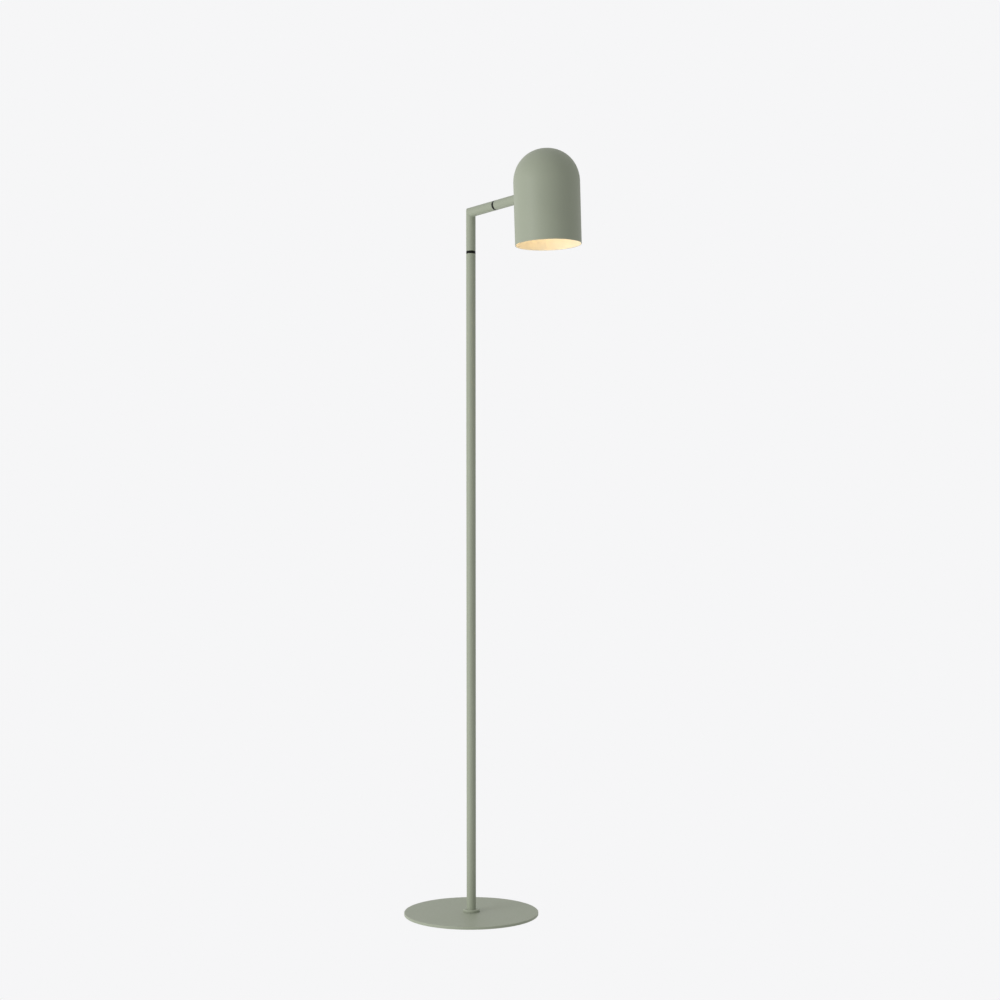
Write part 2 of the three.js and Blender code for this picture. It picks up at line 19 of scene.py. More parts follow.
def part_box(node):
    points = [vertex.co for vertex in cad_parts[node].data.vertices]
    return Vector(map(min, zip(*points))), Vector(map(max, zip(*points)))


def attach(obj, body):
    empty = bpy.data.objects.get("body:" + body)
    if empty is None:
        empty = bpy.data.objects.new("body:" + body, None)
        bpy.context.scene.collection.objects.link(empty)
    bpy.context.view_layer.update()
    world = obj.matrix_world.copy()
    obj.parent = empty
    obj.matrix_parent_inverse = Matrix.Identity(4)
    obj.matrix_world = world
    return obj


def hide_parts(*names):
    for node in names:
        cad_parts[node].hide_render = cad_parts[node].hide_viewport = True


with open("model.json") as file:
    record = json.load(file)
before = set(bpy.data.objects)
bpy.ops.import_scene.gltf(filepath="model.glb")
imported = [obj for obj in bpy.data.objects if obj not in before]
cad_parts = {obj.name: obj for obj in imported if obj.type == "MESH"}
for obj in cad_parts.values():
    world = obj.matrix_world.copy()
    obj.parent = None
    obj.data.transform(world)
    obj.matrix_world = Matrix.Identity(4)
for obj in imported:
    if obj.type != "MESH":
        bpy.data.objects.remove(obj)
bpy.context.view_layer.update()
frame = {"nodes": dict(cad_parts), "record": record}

# %% [markdown]
# ## Taking measurements
#
# A maker measures the parts on the bench before dressing them. The main sizes and every place
# come from the boxes of the CAD nodes, so the fine pieces fall where the plain ones are. Walls
# and the profiles of small pieces, which a box doesn't show, are written out in millimetres. The
# CAD leaves `GAP` between its solids, and the fine pieces inside the head keep to that.
# The head hangs about two degrees out of plumb. A nut on the shade's axis shows by how much.

# %% Measure the stand, the elbow and the arm
MM = 0.001
TUBE_WALL = 1.5 * MM
GAP = 0.3 * MM


def span(node, axis):
    """Lowest and highest place of a CAD node along one axis."""
    low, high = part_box(node)
    return low[axis], high[axis]


plate_low, plate_top = span("base_plate", 2)
plate_radius = span("base_plate", 0)[1]
tube_radius = span("pole_tube", 0)[1]
tube_bore = tube_radius - TUBE_WALL
pole_low = span("pole_tube", 2)[0]
arm_height = span("elbow_tube", 2)[1] - tube_radius
lower_ring_low, lower_ring_high = span("pole_swivel_ring", 2)
upper_ring_near, upper_ring_far = span("arm_swivel_ring", 0)
print(f"tube {tube_radius * 2000:.0f} mm, disc {plate_radius * 2000:.0f} mm, "
      f"arm at {arm_height * 1000:.0f} mm")

# %% Measure the head and its lean
nut_low, nut_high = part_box("holder_nut")
nut_centre = (nut_low + nut_high) / 2
head_lean = math.atan2(-nut_centre.y, nut_centre.z - arm_height)
shade_axis = nut_centre.x
shade_radius = span("shade", 0)[1] - shade_axis
SHADE_WALL = 1.2 * MM
lean = Matrix.Rotation(head_lean, 4, "X")
arm_place = Matrix.Translation((0, 0, arm_height)) @ lean
head_place = Matrix.Translation((shade_axis, 0, arm_height)) @ lean
shade_low, shade_high = span("shade", 2)
dome_centre = shade_high - arm_height - shade_radius
hang = arm_height - shade_low
shade_rim = -(hang - shade_radius * math.sin(head_lean)) / math.cos(head_lean)
print(f"the head leans {math.degrees(head_lean):.2f} degrees, "
      f"rim {shade_rim * 1000:.1f} mm and dome centre {dome_centre * 1000:.1f} mm from the arm")

# %% [markdown]
# ## The camera
#
# The lamp is looked at from the front, with the arm coming forward and to the right. The camera
# stands low, so that the eye looks a little up into the shade and a little down on the disc. A
# view that is level keeps the pole upright, so the lens is shifted up instead of tilted far.

# %% Camera
ARM_TURN = math.radians(51.8)
CAMERA_DISTANCE = 3.018
CAMERA_SIDESTEP = 0.0556
CAMERA_HEIGHT = 0.692
CAMERA_DIP = math.radians(2.1)
LENS, SENSOR_WIDTH, LENS_SHIFT = 56.45, 36, 0.115

view_right = Vector((math.cos(ARM_TURN), math.sin(ARM_TURN), 0))
towards_camera = Vector((math.sin(ARM_TURN), -math.cos(ARM_TURN), 0))
camera_data = bpy.data.cameras.new("camera")
camera_data.lens = LENS
camera_data.sensor_width = SENSOR_WIDTH
camera_data.shift_y = LENS_SHIFT
camera = bpy.data.objects.new("camera", camera_data)
bpy.context.scene.collection.objects.link(camera)
camera.location = (towards_camera * CAMERA_DISTANCE + view_right * CAMERA_SIDESTEP
                   + Vector((0, 0, CAMERA_HEIGHT)))
gaze = -towards_camera * math.cos(CAMERA_DIP) - Vector((0, 0, math.sin(CAMERA_DIP)))
camera.rotation_euler = gaze.to_track_quat("-Z", "Y").to_euler()
bpy.context.scene.camera = camera
print("camera at", [round(place, 3) for place in camera.location])

# %% [markdown]
# ## The studio
#
# A lamp shows best on a pale paper sweep whose floor runs into the wall. A floor that glows
# evenly does the same job: no horizon and no hard shadow. The world has the same pale tone.
# For the light that falls on the lamp, the world is a little brighter from one side, from behind
# and from below, as the paper throws light back. A tall soft box stands on the bright side, in
# front, so that round pieces are shaded round.

# %% Sweep
SWEEP_TONE = (0.9216, 0.9216, 0.930, 1)
SWEEP_HALF_WIDTH = 30

sweep_mesh = bpy.data.meshes.new("sweep")
corners = [(-1, -1), (1, -1), (1, 1), (-1, 1)]
sweep_mesh.from_pydata([(x * SWEEP_HALF_WIDTH, y * SWEEP_HALF_WIDTH, 0) for x, y in corners],
                       [], [(0, 1, 2, 3)])
sweep = bpy.data.objects.new("sweep", sweep_mesh)
bpy.context.scene.collection.objects.link(sweep)
sweep_paper = bpy.data.materials.new("sweep_paper")
sweep_paper.use_nodes = True
sweep_nodes = sweep_paper.node_tree.nodes
sweep_nodes.remove(sweep_nodes["Principled BSDF"])
glow = sweep_nodes.new("ShaderNodeEmission")
glow.inputs["Color"].default_value = SWEEP_TONE
sweep_paper.node_tree.links.new(glow.outputs[0], sweep_nodes["Material Output"].inputs["Surface"])
sweep_mesh.materials.append(sweep_paper)
sweep.visible_diffuse = False
sweep.visible_glossy = False
sweep.visible_shadow = False
print("sweep", 2 * SWEEP_HALF_WIDTH, "m wide in the tone", SWEEP_TONE[:3])

# %% World
AMBIENT = 0.66
FROM_SIDE, FROM_BEHIND, FROM_BELOW = 0.145, 0.190, 0.060

world = bpy.data.worlds.new("studio")
bpy.context.scene.world = world
world.use_nodes = True
sky = world.node_tree
brighter = (-view_right * FROM_SIDE - towards_camera * FROM_BEHIND
            - Vector((0, 0, FROM_BELOW)))
direction = sky.nodes.new("ShaderNodeTexCoord")
lean_of_light = sky.nodes.new("ShaderNodeVectorMath")
lean_of_light.operation = "DOT_PRODUCT"
lean_of_light.inputs[1].default_value = brighter
slope = sky.nodes.new("ShaderNodeMath")
slope.operation = "ADD"
slope.inputs[1].default_value = AMBIENT
lighting = sky.nodes["Background"]
lighting.inputs["Color"].default_value = (1, 1, 1, 1)
paper = sky.nodes.new("ShaderNodeBackground")
paper.inputs["Color"].default_value = SWEEP_TONE
seen = sky.nodes.new("ShaderNodeLightPath")
choice = sky.nodes.new("ShaderNodeMixShader")
for start, end in (
    (direction.outputs["Generated"], lean_of_light.inputs[0]),
    (lean_of_light.outputs["Value"], slope.inputs[0]),
    (slope.outputs[0], lighting.inputs["Strength"]),
    (seen.outputs["Is Camera Ray"], choice.inputs[0]),
    (lighting.outputs[0], choice.inputs[1]),
    (paper.outputs[0], choice.inputs[2]),
    (choice.outputs[0], sky.nodes["World Output"].inputs["Surface"]),
):
    sky.links.new(start, end)
bpy.context.scene.view_settings.view_transform = "Standard"
print("world: ambient", AMBIENT, "and brighter by up to", round(brighter.length, 3))


# %% Soft box
def soft_box(name, place, target, size, power):
    """A rectangular studio light at place that faces target; size is (width, height)."""
    data = bpy.data.lights.new(name, "AREA")
    data.shape = "RECTANGLE"
    data.size, data.size_y = size
    data.energy = power
    light = bpy.data.objects.new(name, data)
    bpy.context.scene.collection.objects.link(light)
    light.location = place
    light.visible_camera = False
    light.rotation_euler = (Vector(target) - Vector(place)).to_track_quat("-Z", "Y").to_euler()
    print(f"{name}: {power:.0f} W, {(Vector(target) - Vector(place)).length:.2f} m away")


KEY_HEIGHT, KEY_ASIDE, KEY_IN_FRONT = 0.70, 2.0, 1.5
KEY_SIZE, KEY_POWER = (1.2, 1.9), 31
key_target = Vector((0, 0, KEY_HEIGHT))
soft_box("key_soft_box", key_target - view_right * KEY_ASIDE + towards_camera * KEY_IN_FRONT,
         key_target, KEY_SIZE, KEY_POWER)

# %% [markdown]
# ## A kit for finishes
#
# Every finish starts from Blender's Principled shader. What is the same all over goes straight
# on the shader's sockets. What varies, such as tone, gloss and the tooth of the surface, comes
# from noise. The noise is read in object space, in metres, so its grain keeps its real size on
# every piece. Two numbers stored on the meshes help: `edge` is 1 where a corner is tight, and
# `along` is the distance that a lathe tool has travelled over the piece.


class Finish:
    """A material in the making. Its methods add nodes and give back the socket to use next."""

    def __init__(self, name, **plain):
        self.material = bpy.data.materials.new(name)
        self.material.use_nodes = True
        self.tree = self.material.node_tree
        self.shader = self.tree.nodes["Principled BSDF"]
        for socket, value in plain.items():
            self.shader.inputs[socket.replace("_", " ")].default_value = value
        self.place = self.node("ShaderNodeTexCoord").outputs["Object"]

    def node(self, kind, inputs=(), **settings):
        """Adds a node; inputs are (socket, value or other node's output) pairs."""
        made = self.tree.nodes.new(kind)
        for setting, value in settings.items():
            setattr(made, setting, value)
        for socket, value in inputs:
            if isinstance(value, bpy.types.NodeSocket):
                self.tree.links.new(value, made.inputs[socket])
            else:
                made.inputs[socket].default_value = value
        return made

    def noise(self, grain, detail=2.0, stretch=(1, 1, 1), twist=0.0):
        """Soft noise from 0 to 1 whose blots are about grain metres wide."""
        spread = self.node("ShaderNodeMapping", [("Vector", self.place), ("Scale", stretch)])
        return self.node("ShaderNodeTexNoise", [
            ("Vector", spread.outputs[0]), ("Scale", 1 / grain), ("Detail", detail),
            ("Distortion", twist)]).outputs["Fac"]

    def cells(self, size):
        """Distance to the nearest of many scattered points, for foam and pits."""
        return self.node("ShaderNodeTexVoronoi",
                         [("Vector", self.place), ("Scale", 1 / size)]).outputs["Distance"]

    def stored(self, name):
        """A number stored on the mesh."""
        return self.node("ShaderNodeAttribute", attribute_name=name).outputs["Fac"]

    def math(self, operation, first, second=0.0):
        """The result of a sum on one or two values."""
        pairs = [(0, first), (1, second)]
        return self.node("ShaderNodeMath", pairs, operation=operation).outputs[0]

    def fit(self, value, low, high, to_low=0.0, to_high=1.0):
        """Maps low..high to to_low..to_high and stops there."""
        return self.node("ShaderNodeMapRange", [
            (0, value), (1, low), (2, high), (3, to_low), (4, to_high)]).outputs[0]

    def mix(self, share, first, second):
        """A colour between first and second."""
        return self.node("ShaderNodeMix", [(0, share), (6, first), (7, second)],
                         data_type="RGBA").outputs[2]

    def upward(self):
        """1 where the surface faces up and 0 where it faces sideways or down."""
        facing = self.node("ShaderNodeNewGeometry").outputs["Normal"]
        up = self.node("ShaderNodeSeparateXYZ", [(0, facing)]).outputs["Z"]
        return self.fit(up, 0.2, 0.95)

    def relief(self, *layers):
        """Bumps on the shader's normal; a layer is (height, depth in metres, strength)."""
        normal = None
        for height, depth, strength in layers:
            inputs = [("Height", height), ("Distance", depth), ("Strength", strength)]
            if normal is not None:
                inputs.append(("Normal", normal))
            normal = self.node("ShaderNodeBump", inputs).outputs[0]
        self.tree.links.new(normal, self.shader.inputs["Normal"])

    def use(self, **sockets):
        """Links outputs to the shader's sockets and gives back the finished material."""
        for socket, value in sockets.items():
            self.tree.links.new(value, self.shader.inputs[socket.replace("_", " ")])
        return self.material


def shade_of(color, factor):
    """The same colour, lighter or darker."""
    return (*(min(channel * factor, 1.0) for channel in color), 1)


print("finish kit ready")

# %% [markdown]
# ## Sage powder coat
#
# Powder paint is sprayed on dry and baked. It flows into a matt skin with a fine tooth, thinner
# on sharp edges, where a hair of a lighter tone comes through. The colour is one tone with
# slow, faint drifts, and dust settles on what faces up. A flat green would look like plastic,
# so tooth, drift, edges and dust are four separate layers here.

# %% Sage powder coat
SAGE = (0.344, 0.377, 0.289)
DUST = (0.62, 0.61, 0.57, 1)


def sage_powder_coat():
    coat = Finish("sage_powder_coat", Metallic=0.0, IOR=1.46)
    tooth = coat.noise(0.55 * MM, detail=2.5)
    flow = coat.noise(5 * MM, detail=2)
    drift = coat.noise(90 * MM, detail=3, twist=0.4)
    specks = coat.fit(coat.noise(0.9 * MM, detail=1), 0.66, 0.74)
    tone = coat.mix(coat.fit(drift, 0.3, 0.7), shade_of(SAGE, 0.975), shade_of(SAGE, 1.025))
    tone = coat.mix(coat.math("MULTIPLY", specks, 0.16), tone, shade_of(SAGE, 0.72))
    dust = coat.math("MULTIPLY", coat.upward(), coat.fit(coat.noise(14 * MM, 4), 0.42, 0.75))
    tone = coat.mix(coat.math("MULTIPLY", dust, 0.07), tone, DUST)
    thin = coat.math("MULTIPLY", coat.stored("edge"), coat.fit(coat.noise(3 * MM, 3), 0.25, 0.60))
    tone = coat.mix(coat.math("MULTIPLY", thin, 0.35), tone, shade_of(SAGE, 1.5))
    gloss = coat.fit(coat.math("ADD", flow, drift), 0.7, 1.3, 0.44, 0.56)
    gloss = coat.math("SUBTRACT", gloss, coat.math("MULTIPLY", thin, 0.10))
    gloss = coat.math("ADD", gloss, coat.math("MULTIPLY", dust, 0.08))
    coat.relief((flow, 0.05 * MM, 0.25), (tooth, 0.03 * MM, 0.45))
    return coat.use(Base_Color=tone, Roughness=gloss)


sage = sage_powder_coat()
print("sage powder coat:", len(sage.node_tree.nodes), "nodes")

# %% [markdown]
# ## Warm white lining
#
# Inside, the shade is sprayed satin white, so that it throws the bulb's light down. The spray is
# a little uneven, its tone drifting at random between two creams.


# %% Warm white lining
def lining_enamel():
    enamel = Finish("lining_enamel", Metallic=0.0, IOR=1.5)
    cloud = enamel.noise(30 * MM, detail=3)
    orange_peel = enamel.noise(1.6 * MM, detail=2)
    tone = enamel.mix(enamel.fit(cloud, 0.3, 0.7), (0.90, 0.845, 0.71, 1), (0.86, 0.80, 0.66, 1))
    gloss = enamel.fit(enamel.noise(8 * MM), 0.3, 0.7, 0.34, 0.46)
    enamel.relief((orange_peel, 0.03 * MM, 0.3))
    return enamel.use(Base_Color=tone, Roughness=gloss)


lining = lining_enamel()
print("lining enamel:", len(lining.node_tree.nodes), "nodes")

# %% [markdown]
# ## Black nylon, steel, foam and the small finishes
#
# Moulded nylon has a soft satin skin with faint flow marks. Turned steel keeps the rings of the
# lathe tool, which is what the stored distance `along` is for, and its zinc drifts between blue
# and yellow. Foam is a field of cut cells and ceramic has pores; in both, the pits are painted
# darker, which is painted shade. A cable's sheath is nearly smooth, with a scuff here and there.


# %% Black nylon
def moulded(name, color, rough_low, rough_high, grain=0.5 * MM, shine=0.5):
    plastic = Finish(name, IOR=1.53, Specular_IOR_Level=shine)
    flow = plastic.noise(4 * MM, detail=3, twist=0.6)
    fine = plastic.noise(grain, detail=2)
    rub = plastic.math("MULTIPLY", plastic.stored("edge"),
                       plastic.fit(plastic.noise(1.5 * MM, 3), 0.4, 0.6))
    tone = plastic.mix(flow, shade_of(color, 0.88), shade_of(color, 1.12))
    tone = plastic.mix(plastic.math("MULTIPLY", rub, 0.4), tone, shade_of(color, 1.9))
    gloss = plastic.fit(flow, 0.3, 0.7, rough_low, rough_high)
    plastic.relief((fine, 0.012 * MM, 0.4), (flow, 0.03 * MM, 0.15))
    return plastic.use(Base_Color=tone, Roughness=gloss)


nylon = moulded("black_nylon_satin", (0.006, 0.007, 0.0055), 0.10, 0.14, shine=0.17)
white_plastic = moulded("white_bulb_plastic", (0.80, 0.79, 0.74), 0.30, 0.40)
sheath = moulded("flex_sheath_black", (0.022, 0.023, 0.023), 0.42, 0.58, grain=0.9 * MM)
print("moulded finishes: nylon, white plastic and sheath")


# %% Turned steel
def turned_steel(name, color, tool_step):
    steel = Finish(name, Metallic=1.0)
    wander = steel.noise(2.2 * MM, detail=3)
    travel = steel.math("DIVIDE", steel.stored("along"), tool_step / (2 * math.pi))
    rings = steel.math("SINE", steel.math("ADD", travel, steel.math("MULTIPLY", wander, 3.0)))
    zinc = steel.noise(7 * MM, detail=3, twist=0.5)
    cool, warm = shade_of(color, 1.0), (color[0] * 1.06, color[1], color[2] * 0.88, 1)
    tone = steel.mix(steel.fit(zinc, 0.35, 0.65), cool, warm)
    stain = steel.fit(steel.noise(1.2 * MM, 4), 0.62, 0.8)
    tone = steel.mix(steel.math("MULTIPLY", stain, 0.35), tone, shade_of(color, 0.55))
    gloss = steel.math("ADD", steel.fit(wander, 0.3, 0.7, 0.22, 0.36),
                       steel.math("MULTIPLY", stain, 0.2))
    steel.relief((rings, 0.006 * MM, 0.35), (wander, 0.01 * MM, 0.2))
    return steel.use(Base_Color=tone, Roughness=gloss)


zinc_steel = turned_steel("zinc_plated_steel", (0.60, 0.61, 0.62), 0.22 * MM)
print("turned steel:", len(zinc_steel.node_tree.nodes), "nodes")


# %% Foam, ceramic and the lit bulb
def cut_foam():
    foam = Finish("cut_foam", Roughness=0.95, IOR=1.4)
    cells = foam.cells(0.8 * MM)
    # Painted shade: the cell pits are painted darker, where the bump sinks them.
    tone = foam.mix(foam.fit(cells, 0.1, 0.7), (0.016, 0.017, 0.019, 1), (0.045, 0.047, 0.052, 1))
    foam.relief((cells, 0.2 * MM, 0.7))
    return foam.use(Base_Color=tone)


def glazed_ceramic():
    clay = Finish("steatite", IOR=1.55)
    pore_pits_and_shade = clay.fit(clay.cells(1.1 * MM), 0.04, 0.16)
    # Painted shade: the pores are painted darker, where the bump sinks them.
    tone = clay.mix(pore_pits_and_shade, (0.52, 0.48, 0.42, 1), (0.80, 0.77, 0.70, 1))
    clay.relief((pore_pits_and_shade, 0.05 * MM, 0.5))
    return clay.use(Base_Color=tone, Roughness=clay.fit(clay.noise(3 * MM), 0.3, 0.7, 0.4, 0.6))


BULB_GLOW = 5.4


def lit_opal():
    opal = Finish("lit_opal", IOR=1.49, Emission_Strength=BULB_GLOW)
    haze = opal.noise(9 * MM, detail=3)
    body = opal.mix(haze, (0.93, 0.88, 0.76, 1), (0.98, 0.94, 0.84, 1))
    warm = opal.mix(haze, (1.0, 0.73, 0.37, 1), (1.0, 0.76, 0.41, 1))
    opal.relief((opal.noise(0.7 * MM), 0.01 * MM, 0.3))
    return opal.use(Base_Color=body, Emission_Color=warm,
                    Roughness=opal.fit(haze, 0.3, 0.7, 0.28, 0.4))


foam, ceramic, opal = cut_foam(), glazed_ceramic(), lit_opal()
print("foam, ceramic and opal ready")

# %% [markdown]
# ## A kit for shapes
#
# Almost everything on this lamp is turned, spun or tube. All can be made the same way: a row of
# points is laid round the piece, then another, and the rows are skinned with four-sided faces,
# as a hull is planked. A row may be a circle, a hexagon, a slanted cut or a thread's wave, which
# a modifier such as Screw or Bevel can't follow. Corners of an outline are rounded before the
# rows are laid, because a real edge is never sharp and only a rounded one catches the light.


# %% Skinning rows
SUPPORT = 0.9 * MM
WEAR_STARTS, WEAR_RANGE = 0.14, 0.16
TINY = 1e-6


def corner_strength(corner):
    """0 on smooth stretches, up to 1 where the faces round a vertex turn tightly."""
    turns = [edge.calc_face_angle(0.0) for edge in corner.link_edges if len(edge.link_faces) == 2]
    return min(max((max(turns, default=0.0) - WEAR_STARTS) / WEAR_RANGE, 0.0), 1.0)


def support_rows(rows, wrap):
    """Adds a row just inside both ends of each long stretch, so that edge wear stays narrow."""
    supported = []
    for index, row in enumerate(rows):
        supported.append(row)
        if index + 1 == len(rows) and not wrap:
            break
        after = rows[(index + 1) % len(rows)]
        gaps = [(Vector(end) - Vector(start)).length for start, end in zip(row, after)]
        if min(gaps) > 3 * SUPPORT:
            for near in (True, False):
                shares = [SUPPORT / gap if near else 1 - SUPPORT / gap for gap in gaps]
                supported.append([Vector(start).lerp(Vector(end), share)
                                  for start, end, share in zip(row, after, shares)])
    return supported


def skin(name, rows, wrap=True):
    """A closed mesh through rows of points; wrap joins the last row to the first."""
    rows = support_rows(rows, wrap)
    work = bmesh.new()
    along = work.verts.layers.float.new("along")
    edge = work.verts.layers.float.new("edge")
    grid, travelled = [], 0.0
    for index, row in enumerate(rows):
        if index:
            travelled += (Vector(row[0]) - Vector(rows[index - 1][0])).length
        grid.append([work.verts.new(point) for point in row])
        for corner in grid[-1]:
            corner[along] = travelled
    rounds = list(zip(grid, grid[1:] + grid[:1])) if wrap else list(zip(grid, grid[1:]))
    for lower, upper in rounds:
        for place in range(len(lower)):
            after = (place + 1) % len(lower)
            work.faces.new((lower[place], lower[after], upper[after], upper[place]))
    bmesh.ops.remove_doubles(work, verts=work.verts, dist=1e-7)
    bmesh.ops.recalc_face_normals(work, faces=work.faces)
    for corner in work.verts:
        corner[edge] = corner_strength(corner)
    mesh = bpy.data.meshes.new(name)
    work.to_mesh(mesh)
    work.free()
    piece = bpy.data.objects.new(name, mesh)
    bpy.context.scene.collection.objects.link(piece)
    return piece


print(f"skins get a support row {SUPPORT * 1000:.1f} mm from each corner")


# %% Outlines and turned pieces
def soften(corners, steps=4):
    """An outline from (across, up) or (across, up, rounding radius) corners."""
    outline = []
    for index, (across, up, *rounding) in enumerate(corners):
        here = Vector((across, up))
        if not rounding:
            outline.append(here)
            continue
        radius = rounding[0]
        back = (Vector(corners[index - 1][:2]) - here).normalized()
        onward = (Vector(corners[(index + 1) % len(corners)][:2]) - here).normalized()
        half = back.angle(onward) / 2
        centre = here + (back + onward).normalized() * radius / math.sin(half)
        first = here + back * radius / math.tan(half) - centre
        last = here + onward * radius / math.tan(half) - centre
        start = math.atan2(first.y, first.x)
        sweep_angle = math.remainder(math.atan2(last.y, last.x) - start, 2 * math.pi)
        for step in range(steps + 1):
            angle = start + sweep_angle * step / steps
            outline.append(centre + Vector((math.cos(angle), math.sin(angle))) * radius)
    return outline


def circle(radius, height, count, ripple=None):
    """A level row of points; ripple(angle) adds to the radius."""
    row = []
    for place in range(count):
        angle = 2 * math.pi * place / count
        reach = radius + (ripple(angle) if ripple and radius > 0 else 0)
        row.append(Vector((reach * math.cos(angle), reach * math.sin(angle), height)))
    return row


def lathe(name, corners, count=64, steps=4):
    """A turned piece about Z. An outline that starts on the axis also ends on it."""
    outline = soften(corners, steps)
    closed = outline[0].x > TINY
    return skin(name, [circle(point.x, point.y, count) for point in outline], wrap=closed)


print("shape kit ready")

# %% [markdown]
# ## Setting a piece in the lamp
#
# Each piece is made on its own axis, as on a bench, and then set in its place: its mesh is
# moved, it gets its finish, and it rides on the body that it belongs to. A weighted-normal
# modifier keeps flat faces flat right up to their small rounded edges. Cross holes are drilled
# with a bit and an exact boolean, because no row of points can follow where two tubes meet.

# %% Setting pieces
upright = Matrix.Identity(4)
lying = Matrix.Rotation(math.pi / 2, 4, "Y")
SHARP_TURN = math.radians(38)


def set_piece(piece, place, finish, body, slot, *nodes):
    """Puts a finished piece on its body, standing for the CAD nodes named."""
    piece.data.transform(place)
    piece.data.materials.append(finish)
    piece.data.shade_smooth()
    piece.data.set_sharp_from_angle(angle=SHARP_TURN)
    weigh = piece.modifiers.new("even_shading", "WEIGHTED_NORMAL")
    weigh.keep_sharp = True
    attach(piece, body)
    if nodes:
        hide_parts(*nodes)
    print(f"{piece.name}: {len(piece.data.polygons)} faces on {body}")


def drill(piece, radius, low, high, place, count=40):
    """Drills a round hole from low to high on place's Z axis, then throws the bit away."""
    bit = lathe("drill_bit", [(0, low), (radius, low), (radius, high), (0, high)], count)
    bit.data.transform(place)
    hole = piece.modifiers.new("hole", "BOOLEAN")
    hole.operation = "DIFFERENCE"
    hole.solver = "EXACT"
    hole.object = bit
    graph = bpy.context.evaluated_depsgraph_get()
    drilled = bpy.data.meshes.new_from_object(piece.evaluated_get(graph))
    piece.modifiers.clear()
    drilled.name = piece.name
    piece.data = drilled
    bpy.data.objects.remove(bit)


print("pieces keep an edge sharp above", round(math.degrees(SHARP_TURN)), "degrees")

# %% [markdown]
# ## The disc base
#
# The disc is laser-cut from 5 mm plate and its edge is broken with a small radius before it is
# painted. Underneath is a stuck-on foam mat, a little smaller, that can't be seen from above.

# %% Disc and mat
BOLT_HEAD_RADIUS, BOLT_SINK, BOLT_HOLE = 9.3 * MM, 3.3 * MM, 5 * MM
EDGE_BREAK = 0.9 * MM
DISC_SEGMENTS = 256

disc = lathe("base_disc", [
    (BOLT_HEAD_RADIUS, plate_low),
    (plate_radius, plate_low, EDGE_BREAK),
    (plate_radius, plate_top, EDGE_BREAK),
    (BOLT_HOLE, plate_top, 0.3 * MM),
    (BOLT_HOLE, plate_low + BOLT_SINK),
    (BOLT_HEAD_RADIUS, plate_low + BOLT_SINK),
], DISC_SEGMENTS)
set_piece(disc, upright, sage, "stand", "sage_paint", "base_plate")

mat_low, mat_top = span("foot_pad", 2)
mat_radius = span("foot_pad", 0)[1]
mat = lathe("foam_mat", [
    (0, mat_low), (mat_radius, mat_low, 0.25 * MM), (mat_radius, mat_top, 0.1 * MM), (0, mat_top),
], DISC_SEGMENTS)
set_piece(mat, upright, foam, "stand", "black_foam", "foot_pad")

# %% [markdown]
# ## Collar, pole and cord inlet
#
# A turned collar hides the joint between pole and disc. The pole is drawn steel tube. Its top
# end is cut square and its edge is just eased, which gives the thin bright line above and below
# each black ring. It stops a tenth of a millimetre short of the ring, so that the two can slide
# past each other. The cord's way in is a nylon bush low on the back, in a drilled hole.

# %% Collar
TUBE_SEGMENTS, SMALL_SEGMENTS = 96, 48
COLLAR_ROUNDING = 1.6 * MM
collar_low, collar_top = span("pole_flange", 2)
collar_radius = span("pole_flange", 0)[1]
collar_bore = tube_radius + GAP
collar = lathe("pole_collar", [
    (collar_bore, collar_low),
    (collar_radius, collar_low, 0.25 * MM),
    (collar_radius, collar_top, COLLAR_ROUNDING),
    (collar_bore, collar_top, 0.5 * MM),
], TUBE_SEGMENTS, steps=6)
set_piece(collar, upright, sage, "stand", "sage_paint", "pole_flange")

# %% Pole with its drilled inlet
TUBE_EASE = 0.35 * MM
RING_GAP = 0.1 * MM
pole_top = lower_ring_low - RING_GAP
bush_low, bush_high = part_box("cord_bush")
bush_centre = (bush_low + bush_high) / 2
inlet_turn = math.atan2(bush_centre.y, bush_centre.x)
towards_inlet = (Matrix.Translation((0, 0, bush_centre.z))
                 @ Matrix.Rotation(inlet_turn, 4, "Z") @ lying)
INLET_HOLE, INLET_FROM, INLET_TO = 3.9 * MM, 4 * MM, 18 * MM

pole = lathe("pole", [
    (tube_bore, pole_low),
    (tube_radius, pole_low, TUBE_EASE),
    (tube_radius, pole_top, TUBE_EASE),
    (tube_bore, pole_top),
], TUBE_SEGMENTS)
drill(pole, INLET_HOLE, INLET_FROM, INLET_TO, towards_inlet)
set_piece(pole, upright, sage, "stand", "sage_paint", "pole_tube")

# %% Cord bush
BUSH_BORE, BUSH_SLEEVE, BUSH_LIP = 2.7 * MM, 3.6 * MM, 4.4 * MM
bush_end = tube_radius + 1.7 * MM
bush_start = bush_end - 4 * MM
lip_start = bush_end - 1.4 * MM

bush = lathe("inlet_bush", [
    (BUSH_BORE, bush_start),
    (BUSH_SLEEVE, bush_start),
    (BUSH_SLEEVE, lip_start),
    (BUSH_LIP, lip_start, 0.15 * MM),
    (BUSH_LIP, bush_end, 0.7 * MM),
    (BUSH_BORE, bush_end, 0.5 * MM),
], SMALL_SEGMENTS)
set_piece(bush, towards_inlet, nylon, "stand", "black_nylon", "cord_bush")

# %% [markdown]
# ## The black swivel rings
#
# Each swivel turns on a nylon ring, a thrust bearing that shows as a thin black line. It stands a
# hair proud of the tube, as the paint on the tube ends is thin there. Its outside is slightly
# crowned and its corners are rounded, so it catches one narrow highlight.

# %% Swivel rings
RING_CROWN = 0.08 * MM
RING_PROUD = 0.12 * MM
RING_WALL = 1.9 * MM
RING_EASE = 0.2 * MM
ring_half = (lower_ring_high - lower_ring_low) / 2
ring_radius = tube_radius + RING_PROUD
ring_bore = tube_radius - RING_WALL


